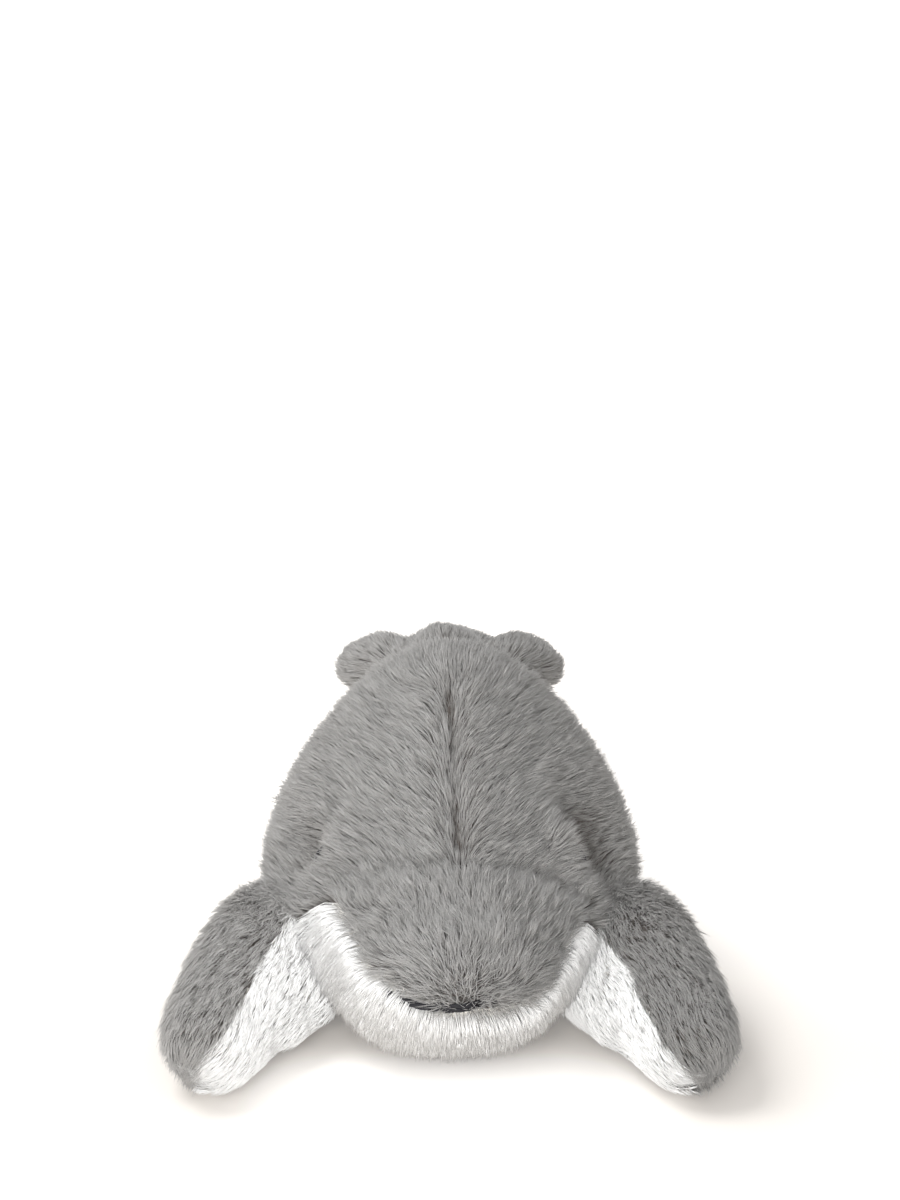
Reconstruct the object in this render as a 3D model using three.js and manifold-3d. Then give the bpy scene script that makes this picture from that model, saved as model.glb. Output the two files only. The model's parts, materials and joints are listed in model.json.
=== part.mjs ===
// A soft toy dolphin that lies on its belly: plush panels sewn over stuffing, with side fins,
// a back fin, a tail and flukes that bend at their seams.
// Millimetres, +Z up. The snout points to -Y and the toy's own left is +X.
import * as THREE from "three";
import { mergeVertices } from "three/addons/utils/BufferGeometryUtils.js";
import Module from "manifold-3d";

const wasm = await Module();
wasm.setup();

// The plush and the spaces between pieces
const plushThickness = 5; // backing cloth with its pile pressed flat
const seamGap = 0.3; // between neighbouring panels
const fillGap = 0.3; // between a panel and the stuffing
const jointGap = 0.3; // between a limb and the body beside it
const rootGap = 0.8; // between a limb's round root and the hollow it sits in
const restCut = 0.5; // how deep the belly is pressed flat

// The body, as sections across it: "at" is the distance behind the snout tip
const snoutTipY = -190;
const noseHeight = 49;
const muzzle = { at: 38, halfWidth: 51, widest: 42, top: 76, bottom: 6, crown: 2.2 };
const cheeks = { at: 60, halfWidth: 65, widest: 42, top: 84, bottom: 1, crown: 2.2 };
const stop = { at: 74, halfWidth: 71, widest: 43, top: 85, bottom: 0, crown: 2.1 };
const shoulders = { at: 98, halfWidth: 79, widest: 47, top: 106, bottom: -restCut, crown: 1.9 };
const chest = { at: 128, halfWidth: 90, widest: 51, top: 126, bottom: -restCut, crown: 1.75 };
const back = { at: 165, halfWidth: 86, widest: 52, top: 141, bottom: -restCut, crown: 1.7 };
const crest = { at: 192, halfWidth: 76, widest: 51, top: 140, bottom: -restCut, crown: 1.7 };
const loin = { at: 228, halfWidth: 62, widest: 49, top: 120, bottom: -restCut, crown: 1.8 };
const tailRoot = { at: 264, halfWidth: 49, widest: 47, top: 93, bottom: 4, crown: 1.9 };
const tailStock = { at: 300, halfWidth: 38, widest: 48, top: 80, bottom: 16, crown: 2 };
const tailEnd = { at: 336, halfWidth: 32, widest: 55, top: 79, bottom: 31, crown: 2 };
const frontSections = [muzzle, cheeks, stop, shoulders, chest, back];
const sections = [...frontSections, crest, loin, tailRoot, tailStock, tailEnd];
const bellyPower = 2.5; // 2 is an ellipse, more is squarer; "crown" is the same for the upper half

// The seams, seen from the side
const mouthFrontHeight = 46;
const mouthCornerAt = 68;
const mouthCornerHeight = 65;
const mouthSag = 2; // how far the mouth line hangs below a straight one
const throatAt = 90; // where the jaw panel meets the belly panel
const creaseAt = 73; // where the forehead crease crosses the top of the head
const bellySeamHeight = 30;
const tailSeamHeight = 18;
const headFillEnd = 82; // where the stuffing of the head meets that of the trunk

// The eyes, each on the front wall of a dimple in the side of the head, and the mouth
const dimpleX = 76;
const dimpleAt = 103;
const dimpleHeight = 75;
const dimpleRadius = 16;
const eyeTurn = 22; // degrees the eye looks back from straight sideways
const eyeHalfLength = 6;
const eyeHalfHeight = 5;
const eyeHalfThickness = 2.4;
const eyeSink = 1.2;
const mouthHalfWidth = 36;
const mouthCord = 3.2;

// The side fins
const finPivotX = 80;
const finPivotAt = 95;
const finPivotHeight = 34;
const finTipX = 109;
const finTipAt = 0;
const finTipHeight = 17;
const finRootHalfChord = 25;
const finHalfChord = 25;
const finRootHalfThickness = 29;
const finHalfThickness = 33;
const finFaceNormal = new THREE.Vector3(0.865, 0.243, 0.438); // the way the grey face looks
const finTipPower = 0.5; // less is blunter
const finOut = 35; // degrees, from where it rests against the cheek

// The back fin
const dorsalAt = 236;
const dorsalRootHalfLength = 23;
const dorsalHalfThickness = 18;
const dorsalHeight = 16; // pivot to tip
const dorsalSweep = 15; // how far back the tip lies
const dorsalTipPower = 1;
const dorsalLean = 18; // degrees to the toy's left
const dorsalSwing = 25; // to each side

// The tail and the flukes
const tailPivotAt = 276;
const tailPivotHeight = 48.5;
const tailBallRadius = 43;
const tailRim = 14; // the trunk's skin stops this far ahead of the pivot
const flukePivotAt = 345;
const flukePivotHeight = 58;
const flukeRootRadius = 22;
const flukeHalfSpan = 64;
const flukeLobeAt = 36; // where along the half span the lobe reaches furthest back
const flukeLobeLength = 35; // pivot line to the lobe's rear edge
const flukeNotchLength = 24; // pivot line to the notch
const flukeSweep = 14; // how far the tips lie behind the root
const flukeDroop = 8; // how far the tips hang below the root
const flukeUp = 25; // degrees
const flukeDown = 20;

const plush = { roughness: 0.95, metalness: 0 };
const greyPlush = { color: "#a09e9b", ...plush };
const whitePlush = { color: "#ebe7e0", ...plush };
const blackThread = { color: "#17181b", roughness: 0.6, metalness: 0 };
const stuffing = { color: "#f3f2ee", ...plush };

const ringPoints = 20;
const toY = (at) => snoutTipY + at;
const sideways = new THREE.Matrix4().makeBasis(
  new THREE.Vector3(0, 1, 0),
  new THREE.Vector3(0, 0, 1),
  new THREE.Vector3(1, 0, 0)
);

function solid(geometry) {
  const bare = geometry.clone();
  bare.deleteAttribute("normal");
  bare.deleteAttribute("uv");
  const welded = mergeVertices(bare, 1e-4);
  return new wasm.Manifold(
    new wasm.Mesh({
      numProp: 3,
      vertProperties: new Float32Array(welded.attributes.position.array),
      triVerts: new Uint32Array(welded.index.array),
    })
  );
}

function node(name, shape, look) {
  const mesh = shape.getMesh();
  const geometry = new THREE.BufferGeometry();
  geometry.setAttribute("position", new THREE.BufferAttribute(mesh.vertProperties, 3));
  geometry.setIndex(new THREE.BufferAttribute(mesh.triVerts, 1));
  geometry.computeVertexNormals();
  const made = new THREE.Mesh(geometry, new THREE.MeshStandardMaterial(look));
  made.name = name;
  return made;
}

// A closed skin over rings of points, with a point at each end
function loft(firstPole, rings, lastPole) {
  const size = rings[0].length;
  const points = [firstPole, ...rings.flat(), lastPole];
  const faces = [];
  for (let k = 0; k < size; k += 1) {
    const next = (k + 1) % size;
    faces.push(0, 1 + next, 1 + k);
    for (let r = 0; r + 1 < rings.length; r += 1) {
      const here = 1 + r * size;
      const there = here + size;
      faces.push(here + k, here + next, there + k);
      faces.push(here + next, there + next, there + k);
    }
    const lastRing = 1 + (rings.length - 1) * size;
    faces.push(points.length - 1, lastRing + k, lastRing + next);
  }
  const geometry = new THREE.BufferGeometry().setFromPoints(points);
  geometry.setIndex(faces);
  geometry.computeVertexNormals();
  return geometry;
}

// The same form, smaller by a thickness all over, or larger where it is negative
function inset(geometry, thickness) {
  const moved = geometry.clone();
  const place = moved.attributes.position;
  const normal = geometry.attributes.normal;
  for (let i = 0; i < place.count; i += 1) {
    place.setXYZ(
      i,
      place.getX(i) - thickness * normal.getX(i),
      place.getY(i) - thickness * normal.getY(i),
      place.getZ(i) - thickness * normal.getZ(i)
    );
  }
  return moved;
}

// A smooth curve through the sections that never overshoots them
function between(list, key, at) {
  const last = list.length - 1;
  const slopes = list.slice(1).map((s, i) => (s[key] - list[i][key]) / (s.at - list[i].at));
  const tangent = (i) => {
    if (i === 0 || i === last) {
      return slopes[Math.min(i, last - 1)];
    }
    const product = slopes[i - 1] * slopes[i];
    return product > 0 ? (2 * product) / (slopes[i - 1] + slopes[i]) : 0;
  };
  const i = Math.max(0, Math.min(last - 1, list.findIndex((s) => s.at >= at) - 1));
  const step = list[i + 1].at - list[i].at;
  const t = (at - list[i].at) / step;
  const rest = 1 - t;
  return (
    (1 + 2 * t) * rest * rest * list[i][key] +
    t * rest * rest * step * tangent(i) +
    t * t * (3 - 2 * t) * list[i + 1][key] -
    t * t * rest * step * tangent(i + 1)
  );
}

function bodySection(at) {
  if (at >= muzzle.at) {
    const keys = ["halfWidth", "widest", "top", "bottom", "crown"];
    return Object.fromEntries(keys.map((key) => [key, between(sections, key, at)]));
  }
  const round = Math.sqrt(1 - (1 - at / muzzle.at) ** 2);
  return {
    halfWidth: muzzle.halfWidth * round,
    widest: noseHeight + (muzzle.widest - noseHeight) * round,
    top: noseHeight + (muzzle.top - noseHeight) * round,
    bottom: noseHeight + (muzzle.bottom - noseHeight) * round,
    crown: muzzle.crown,
  };
}

const signedPower = (value, power) => Math.sign(value) * Math.abs(value) ** power;

function bodyRing(at) {
  const s = bodySection(at);
  return Array.from({ length: ringPoints }, (_, k) => {
    const angle = (-2 * Math.PI * k) / ringPoints;
    const upper = k === 0 || k * 2 >= ringPoints;
    const power = 2 / (upper ? s.crown : bellyPower);
    const height = upper ? s.top - s.widest : s.widest - s.bottom;
    const x = s.halfWidth * signedPower(Math.cos(angle), power);
    return new THREE.Vector3(x, toY(at), s.widest + height * signedPower(Math.sin(angle), power));
  });
}

// Half the body's width at a height on one of its sections
function bodyHalfWidth(at, height) {
  const s = bodySection(at);
  const upper = height >= s.widest;
  const reach = upper ? s.top - s.widest : s.widest - s.bottom;
  const power = upper ? s.crown : bellyPower;
  const share = Math.min(1, Math.abs(height - s.widest) / reach);
  return s.halfWidth * (1 - share ** power) ** (1 / power);
}

const noseRings = [0.25, 0.5, 0.75].map((turn) => muzzle.at * (1 - Math.cos((turn * Math.PI) / 2)));
const bodyRings = [...noseRings];
sections.forEach((s, i) => {
  bodyRings.push(s.at);
  if (s !== tailEnd && s !== cheeks && s !== tailStock) {
    bodyRings.push((s.at + sections[i + 1].at) / 2);
  }
});
const bodyForm = loft(
  new THREE.Vector3(0, toY(0), noseHeight),
  bodyRings.map(bodyRing),
  new THREE.Vector3(0, toY(tailEnd.at), tailEnd.widest)
);

// A block that reaches over the whole body's width, from an outline seen from the side
const blockHalfWidth = 150;
const before = -20; // ahead of the snout
const beyond = 420; // behind the flukes
const under = -20; // below the floor
function sideBlock(outline) {
  const shape = new THREE.Shape(outline.map(([at, height]) => new THREE.Vector2(toY(at), height)));
  const block = new THREE.ExtrudeGeometry(shape, { depth: 2 * blockHalfWidth, bevelEnabled: false });
  return solid(block.translate(0, 0, -blockHalfWidth).applyMatrix4(sideways));
}

function box(sizeX, sizeY, sizeZ, x, y, z) {
  return solid(new THREE.BoxGeometry(sizeX, sizeY, sizeZ).translate(x, y, z));
}

const far = 600;
const aboveFloor = box(far, far, far, 0, 0, far / 2);
const leftHalf = box(far, far, far, (far + seamGap) / 2, 0, 0);
const rightHalf = box(far, far, far, -(far + seamGap) / 2, 0, 0);

// A ball with facets that stay outside the true one, stretched along its own X
const rootFacets = 18;
const facetShare = Math.cos(Math.PI / rootFacets); // a facet's middle against its corners
function roundRoot(halfLength, radius) {
  const ball = new THREE.SphereGeometry(radius / facetShare, rootFacets, rootFacets / 2);
  return ball.rotateZ(Math.PI / 2).scale(halfLength / radius, 1, 1);
}

// The mouth line and the other seams
const mouthSteps = 6;
const mouthHeight = (at) => {
  const t = at / mouthCornerAt;
  const rise = (mouthCornerHeight - mouthFrontHeight) * t;
  return mouthFrontHeight + rise - 4 * mouthSag * t * (1 - t);
};
const mouthLine = Array.from({ length: mouthSteps + 1 }, (_, k) => {
  const at = (mouthCornerAt * k) / mouthSteps;
  return [at, mouthHeight(at)];
});
const corner = [mouthCornerAt, mouthCornerHeight];
const creaseReach = 4; // drawn well past the top of the head
const creaseTop = [
  mouthCornerAt + creaseReach * (creaseAt - mouthCornerAt),
  mouthCornerHeight + creaseReach * (stop.top - mouthCornerHeight),
];
const throat = [throatAt, bellySeamHeight];
const throatFloor = [throatAt, under];
const bellySeam = [throat, [loin.at, bellySeamHeight], [tailEnd.at, tailSeamHeight]];

function ribbon(line) {
  const half = seamGap / 2;
  const sides = line.map(([at, height], i) => {
    const a = line[Math.max(0, i - 1)];
    const b = line[Math.min(line.length - 1, i + 1)];
    const length = Math.hypot(b[0] - a[0], b[1] - a[1]);
    const across = [(-half * (b[1] - a[1])) / length, (half * (b[0] - a[0])) / length];
    return [
      [at + across[0], height + across[1]],
      [at - across[0], height - across[1]],
    ];
  });
  return sideBlock([...sides.map((s) => s[1]), ...sides.map((s) => s[0]).reverse()]);
}

const seams = [
  [[before, mouthFrontHeight], ...mouthLine],
  [creaseTop, corner, throat, throatFloor],
  [...bellySeam, [beyond, tailSeamHeight]],
].map(ribbon);

const snoutRegion = sideBlock([
  [before, mouthFrontHeight],
  ...mouthLine,
  creaseTop,
  [before, creaseTop[1]],
]);
const jawRegion = sideBlock([
  [before, under],
  throatFloor,
  throat,
  ...mouthLine.slice().reverse(),
  [before, mouthFrontHeight],
]);
const backRegion = sideBlock([
  ...bellySeam,
  [beyond, tailSeamHeight],
  [beyond, creaseTop[1]],
  creaseTop,
  corner,
]);
const bellyRegion = sideBlock([
  throatFloor,
  [beyond, under],
  [beyond, tailSeamHeight],
  ...bellySeam.slice().reverse(),
]);

// A limb: its own frame puts the pivot axis on X, the way it reaches on Y and its upper face on Z
function limbFrame(pivot, reach, face) {
  const along = reach.clone().normalize();
  const axis = new THREE.Vector3().crossVectors(along, face).normalize();
  const up = new THREE.Vector3().crossVectors(axis, along);
  return new THREE.Matrix4().makeBasis(axis, along, up).setPosition(pivot);
}

// A stuffed paddle in its own frame. Its root is round about the pivot axis.
function paddle(s) {
  const around = 14;
  const rings = [];
  const ring = (y, halfChord, halfThickness, shift) => {
    rings.push(
      Array.from({ length: around }, (_, k) => {
        const angle = (-2 * Math.PI * k) / around;
        return new THREE.Vector3(
          shift + halfChord * Math.cos(angle),
          y,
          halfThickness * Math.sin(angle)
        );
      })
    );
  };
  [0.3, 0.65].forEach((turn) => {
    const angle = (turn * Math.PI) / 2;
    const round = Math.sin(angle);
    ring(-s.rootHalfThickness * Math.cos(angle), s.rootHalfChord * round, s.rootHalfThickness * round, 0);
  });
  ring(0, s.rootHalfChord, s.rootHalfThickness, 0);
  const steps = 5;
  for (let i = 1; i < steps; i += 1) {
    const turn = (i / steps) * (Math.PI / 2);
    const y = s.length * Math.sin(turn);
    const blend = Math.min(1, (2 * y) / s.length);
    const ease = blend * blend * (3 - 2 * blend);
    const tip = Math.cos(turn) ** s.tipPower;
    ring(
      y,
      (s.rootHalfChord + (s.halfChord - s.rootHalfChord) * ease) * tip,
      (s.rootHalfThickness + (s.halfThickness - s.rootHalfThickness) * ease) * tip,
      s.sweep * (y / s.length) ** 2
    );
  }
  return loft(
    new THREE.Vector3(0, -s.rootHalfThickness, 0),
    rings,
    new THREE.Vector3(s.sweep, s.length, 0)
  );
}

// The panels and stuffing of a limb that is sewn from an upper and a lower panel
function sewnLimb(form, frame) {
  const placed = (geometry) => solid(geometry.clone().applyMatrix4(frame));
  const skin = placed(form).subtract(placed(inset(form, plushThickness)));
  const half = (side) => {
    const middle = (side * (far + seamGap)) / 2;
    return placed(new THREE.BoxGeometry(far, far, far).translate(0, 0, middle));
  };
  return {
    upper: skin.intersect(half(1)),
    lower: skin.intersect(half(-1)),
    filling: placed(inset(form, plushThickness + fillGap)),
  };
}

// The space a limb needs about its pivot axis, from one end of its swing to the other
const sweepStep = 9; // degrees
function sweep(form, frame, rootHalfLength, rootRadius, least, most) {
  const grown = inset(form, -jointGap);
  const steps = Math.ceil((most - least) / sweepStep);
  const root = roundRoot(rootHalfLength + rootGap, rootRadius + rootGap);
  let space = solid(root.applyMatrix4(frame));
  for (let i = 0; i <= steps; i += 1) {
    const angle = THREE.MathUtils.degToRad(least + ((most - least) * i) / steps);
    const turned = frame.clone().multiply(new THREE.Matrix4().makeRotationX(angle));
    space = space.add(solid(grown.clone().applyMatrix4(turned)));
  }
  return space;
}

// Side fins
const finPivot = new THREE.Vector3(finPivotX, toY(finPivotAt), finPivotHeight);
const finReach = new THREE.Vector3(finTipX, toY(finTipAt), finTipHeight).sub(finPivot);
const finForm = paddle({
  length: finReach.length(),
  rootHalfChord: finRootHalfChord,
  halfChord: finHalfChord,
  rootHalfThickness: finRootHalfThickness,
  halfThickness: finHalfThickness,
  tipPower: finTipPower,
  sweep: 0,
});
const mirror = new THREE.Matrix4().makeScale(-1, 1, 1);
const finFrame = limbFrame(finPivot, finReach, finFaceNormal);
const mirrored = (shape) => {
  const mesh = shape.getMesh();
  const geometry = new THREE.BufferGeometry();
  geometry.setAttribute("position", new THREE.BufferAttribute(mesh.vertProperties, 3));
  geometry.setIndex(Array.from(mesh.triVerts).reverse());
  return solid(geometry.applyMatrix4(mirror));
};
const finLeft = sewnLimb(finForm, finFrame);
const finSpace = sweep(finForm, finFrame, finRootHalfChord, finRootHalfThickness, 0, finOut);

// Back fin
const dorsalPivotHeight = bodySection(dorsalAt).top;
const dorsalFrontTop = bodySection(dorsalAt - dorsalRootHalfLength / 2).top;
const dorsalRearTop = bodySection(dorsalAt + dorsalRootHalfLength / 2).top;
const dorsalDrop = dorsalRearTop - dorsalFrontTop;
const dorsalBase = new THREE.Vector3(0, dorsalRootHalfLength, dorsalDrop).normalize();
const dorsalUp = new THREE.Vector3(0, -dorsalBase.z, dorsalBase.y);
const leanAngle = THREE.MathUtils.degToRad(dorsalLean);
const leanTurn = new THREE.Quaternion().setFromAxisAngle(dorsalBase, leanAngle);
const dorsalReach = dorsalUp.clone().applyQuaternion(leanTurn);
const dorsalPivot = new THREE.Vector3(0, toY(dorsalAt), dorsalPivotHeight);
const dorsalFrame = new THREE.Matrix4()
  .makeBasis(dorsalBase, dorsalReach, new THREE.Vector3().crossVectors(dorsalBase, dorsalReach))
  .setPosition(dorsalPivot);
const dorsalForm = paddle({
  length: dorsalHeight,
  rootHalfChord: dorsalRootHalfLength,
  halfChord: dorsalRootHalfLength,
  rootHalfThickness: dorsalHalfThickness,
  halfThickness: dorsalHalfThickness,
  tipPower: dorsalTipPower,
  sweep: dorsalSweep,
});
const dorsal = sewnLimb(dorsalForm, dorsalFrame);
const dorsalSpace = sweep(
  dorsalForm,
  dorsalFrame,
  dorsalRootHalfLength,
  dorsalHalfThickness,
  -dorsalSwing,
  dorsalSwing
);

// Flukes: sections along the span, round about the pivot line in front
function flukeRing(x) {
  const around = 12;
  const share = Math.abs(x) / flukeHalfSpan;
  const thin = Math.sqrt(1 - share ** 3);
  const radius = flukeRootRadius * thin;
  const toLobe = Math.min(1, Math.abs(x) / flukeLobeAt);
  const ease = toLobe * toLobe * (3 - 2 * toLobe);
  const rear = flukeNotchLength + (flukeLobeLength - flukeNotchLength) * ease;
  const y = flukeSweep * share * share;
  const hang = flukeDroop * share * share;
  return Array.from({ length: around }, (_, k) => {
    const angle = (2 * Math.PI * k) / around;
    const forward = Math.cos(angle) < 0;
    const reach = forward ? radius : rear * thin;
    return new THREE.Vector3(x, y + reach * Math.cos(angle), radius * Math.sin(angle) - hang);
  });
}
const flukeSpots = [-0.95, -0.8, -0.56, -0.28, 0, 0.28, 0.56, 0.8, 0.95];
const flukeTip = (side) =>
  new THREE.Vector3(side * flukeHalfSpan, flukeSweep, -flukeDroop);
const flukeForm = loft(
  flukeTip(-1),
  flukeSpots.map((spot) => flukeRing(spot * flukeHalfSpan)),
  flukeTip(1)
);
const flukeFrame = new THREE.Matrix4().makeTranslation(0, toY(flukePivotAt), flukePivotHeight);
const flukes = sewnLimb(flukeForm, flukeFrame);
const flukeSpace = sweep(flukeForm, flukeFrame, flukeHalfSpan, flukeRootRadius, -flukeDown, flukeUp);

// The trunk ends in a cup that takes the tail's round front end
const tailBall = (radius) => {
  const ball = roundRoot(radius, radius);
  return solid(ball.translate(0, toY(tailPivotAt), tailPivotHeight));
};
const behind = (at) => box(far, far, far, 0, toY(at) + far / 2, 0);
const tailSpace = tailBall(tailBallRadius * facetShare).add(behind(tailPivotAt));
const trunkEnd = tailBall(tailBallRadius + jointGap).add(behind(tailPivotAt - tailRim));

// The cloth follows the dimples at the eyes
const dimpleCentre = new THREE.Vector3(dimpleX, toY(dimpleAt), dimpleHeight);
function dimples(depth) {
  const hollow = new THREE.SphereGeometry(dimpleRadius + depth, 16, 10);
  const left = solid(hollow.translate(dimpleCentre.x, dimpleCentre.y, dimpleCentre.z));
  return left.add(mirrored(left));
}
const body = solid(bodyForm).intersect(aboveFloor).subtract(dimples(0));
const bodyInside = solid(inset(bodyForm, plushThickness)).subtract(dimples(plushThickness));
const fillDepth = plushThickness + fillGap;
const bodyFill = solid(inset(bodyForm, fillDepth)).subtract(dimples(fillDepth));
const skin = seams.reduce((left, seam) => left.subtract(seam), body.subtract(bodyInside));

// Eyes
function eyeShape(side, grow) {
  const angle = THREE.MathUtils.degToRad(eyeTurn);
  const out = new THREE.Vector3(Math.cos(angle), Math.sin(angle), 0);
  const turn = new THREE.Quaternion().setFromUnitVectors(new THREE.Vector3(1, 0, 0), out);
  const centre = dimpleCentre.clone().addScaledVector(out, -dimpleRadius - eyeSink);
  const oval = new THREE.SphereGeometry(1, 10, 6)
    .scale(eyeHalfThickness + grow, eyeHalfLength + grow, eyeHalfHeight + grow)
    .applyQuaternion(turn)
    .translate(centre.x, centre.y, centre.z);
  return side > 0 ? solid(oval) : mirrored(solid(oval));
}

// The mouth's line of thread follows the seam round the front of the snout
function mouthPoint(x) {
  let near = 0;
  let past = muzzle.at;
  for (let i = 0; i < 40; i += 1) {
    const middle = (near + past) / 2;
    if (bodyHalfWidth(middle, mouthHeight(middle)) < Math.abs(x)) {
      near = middle;
    } else {
      past = middle;
    }
  }
  return new THREE.Vector3(x, toY(past), mouthHeight(past));
}
function mouthTube(radius) {
  const stops = [-1, -0.8, -0.55, -0.28, 0, 0.28, 0.55, 0.8, 1];
  const path = new THREE.CatmullRomCurve3(stops.map((t) => mouthPoint(t * mouthHalfWidth)));
  const ring = new THREE.Shape().absarc(0, 0, radius, 0, 2 * Math.PI, false);
  const tube = { steps: 12, curveSegments: 4, extrudePath: path, bevelEnabled: false };
  return solid(new THREE.ExtrudeGeometry(ring, tube));
}
const mouthGroove = mouthTube(mouthCord / 2 + seamGap);

const trunkCuts = [trunkEnd, dorsalSpace, finSpace, mirrored(finSpace)];
const cutBy = (shape, cutters) => cutters.reduce((left, cutter) => left.subtract(cutter), shape);
const trunkSkin = cutBy(skin, [...trunkCuts, mouthGroove, eyeShape(1, seamGap), eyeShape(-1, seamGap)]);
const trunkFill = cutBy(bodyFill, [...trunkCuts, mouthGroove]);
const tailSkin = skin.intersect(tailSpace).subtract(flukeSpace);
const tailFill = bodyFill.intersect(tailSpace).subtract(flukeSpace);
const tailUpper = tailSkin.intersect(backRegion);
const fillFront = box(far, far, far, 0, toY(headFillEnd) - far / 2, 0);
const fillRear = behind(headFillEnd + fillGap);

const dolphin = new THREE.Group();
dolphin.name = "plush_dolphin";
dolphin.add(
  node("back_panel_left", trunkSkin.intersect(backRegion).intersect(leftHalf), greyPlush),
  node("back_panel_right", trunkSkin.intersect(backRegion).intersect(rightHalf), greyPlush),
  node("belly_panel", trunkSkin.intersect(bellyRegion), whitePlush),
  node("snout_panel", trunkSkin.intersect(snoutRegion), greyPlush),
  node("jaw_panel", trunkSkin.intersect(jawRegion), whitePlush),
  node("head_filling", trunkFill.intersect(fillFront), stuffing),
  node("trunk_filling", trunkFill.intersect(fillRear), stuffing),
  node("eye_left", eyeShape(1, 0), blackThread),
  node("eye_right", eyeShape(-1, 0), blackThread),
  node("mouth_stitching", mouthTube(mouthCord / 2), blackThread),
  node("fin_left_outer_panel", finLeft.upper, greyPlush),
  node("fin_left_inner_panel", finLeft.lower, whitePlush),
  node("fin_left_filling", finLeft.filling, stuffing),
  node("fin_right_outer_panel", mirrored(finLeft.upper), greyPlush),
  node("fin_right_inner_panel", mirrored(finLeft.lower), whitePlush),
  node("fin_right_filling", mirrored(finLeft.filling), stuffing),
  node("dorsal_left_panel", dorsal.upper, greyPlush),
  node("dorsal_right_panel", dorsal.lower, greyPlush),
  node("dorsal_filling", dorsal.filling, stuffing),
  node("tail_left_panel", tailUpper.intersect(leftHalf), greyPlush),
  node("tail_right_panel", tailUpper.intersect(rightHalf), greyPlush),
  node("tail_under_panel", tailSkin.intersect(bellyRegion), whitePlush),
  node("tail_filling", tailFill, stuffing),
  node("fluke_top_panel", flukes.upper, greyPlush),
  node("fluke_under_panel", flukes.lower, greyPlush),
  node("fluke_filling", flukes.filling, stuffing)
);

export default dolphin;
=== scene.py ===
import json
import math

import bmesh
import bpy
import numpy as np
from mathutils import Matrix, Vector
from mathutils.bvhtree import BVHTree
from mathutils.kdtree import KDTree


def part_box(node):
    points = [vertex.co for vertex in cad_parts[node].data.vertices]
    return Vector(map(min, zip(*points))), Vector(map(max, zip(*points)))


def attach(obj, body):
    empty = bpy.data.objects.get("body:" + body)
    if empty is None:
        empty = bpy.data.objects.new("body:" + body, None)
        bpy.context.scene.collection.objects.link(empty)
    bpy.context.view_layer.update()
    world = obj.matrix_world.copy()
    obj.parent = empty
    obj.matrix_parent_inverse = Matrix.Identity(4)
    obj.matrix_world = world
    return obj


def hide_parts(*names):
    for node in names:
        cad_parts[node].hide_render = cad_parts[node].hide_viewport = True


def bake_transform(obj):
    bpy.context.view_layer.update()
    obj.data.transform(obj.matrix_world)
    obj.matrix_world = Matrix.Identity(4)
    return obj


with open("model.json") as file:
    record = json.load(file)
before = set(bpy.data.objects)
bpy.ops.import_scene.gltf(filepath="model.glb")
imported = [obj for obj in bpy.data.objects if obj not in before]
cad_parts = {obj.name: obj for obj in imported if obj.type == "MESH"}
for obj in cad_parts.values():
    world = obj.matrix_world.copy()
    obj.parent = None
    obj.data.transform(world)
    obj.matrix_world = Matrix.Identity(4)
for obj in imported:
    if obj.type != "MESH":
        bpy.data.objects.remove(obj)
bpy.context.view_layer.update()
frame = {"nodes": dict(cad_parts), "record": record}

scene = bpy.context.scene
bodies = frame["record"]["behaviour"]["bodies"]
mm = 0.001
perMetre = 1000
tiny = 1e-9

# Places on the toy, in millimetres: x to its own left, "at" behind the snout tip, z up
snoutTipY = -190
seams = {
    "mouthFront": 46, "mouthCornerAt": 68, "mouthCorner": 65, "mouthSag": 2,
    "mouthSlant": ((-62, -52, -43, -25, 0, 45), (-12, -3, 2, 5, -4, -8)),
    "throatAt": 90, "jawMore": 8, "jawMoreFrom": (-40, -55),
    "bellySeam": 30, "tailSeam": 18, "loinAt": 228, "tailStart": 269, "tailEndAt": 336,
}
waves = {"count": 6, "least": 0.6, "spread": 0.8, "scale": 3}


def unit(v):
    return v / np.maximum(np.linalg.norm(v, axis=-1, keepdims=True), tiny)


def smoothStep(a, b, v):
    t = np.clip((v - a) / (b - a), 0, 1)
    return t * t * (3 - 2 * t)


def bell(v, width):
    return np.exp(-(v / width) ** 2)


def wobble(points, size, seed):
    # a soft random field between about -1 and 1, from a few slanted waves
    rng = np.random.default_rng(seed)
    total = np.zeros(len(points))
    for _ in range(waves["count"]):
        wave = rng.normal(size=3)
        wave *= (waves["least"] + waves["spread"] * rng.random()) / (np.linalg.norm(wave) * size)
        total += np.sin(points @ wave * 2 * math.pi + rng.random() * 2 * math.pi)
    return total / waves["scale"]


def link(name, mesh):
    piece = bpy.data.objects.new(name, mesh)
    scene.collection.objects.link(piece)
    return piece


def toMesh(name, bm):
    mesh = bpy.data.meshes.new(name)
    bm.to_mesh(mesh)
    bm.free()
    return mesh


def readVectors(mesh, key):
    found = np.empty(len(mesh.vertices) * 3, np.float32)
    mesh.vertices.foreach_get(key, found)
    return found.reshape(-1, 3).astype(float)


def writePoints(mesh, co):
    mesh.vertices.foreach_set("co", co.astype(np.float32).ravel())
    mesh.update()


def shadeSmooth(mesh):
    mesh.polygons.foreach_set("use_smooth", np.ones(len(mesh.polygons), bool))


def applyModifiers(piece):
    graph = bpy.context.evaluated_depsgraph_get()
    graph.update()
    made = bpy.data.meshes.new_from_object(piece.evaluated_get(graph))
    piece.modifiers.clear()
    old = piece.data
    piece.data = made
    bpy.data.meshes.remove(old)


# Camera: in front of the toy and above it
camera = {"place": (0, -1.55939, 0.80570), "tilt": 67.48, "lens": 108.96, "sensor": 36}


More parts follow.
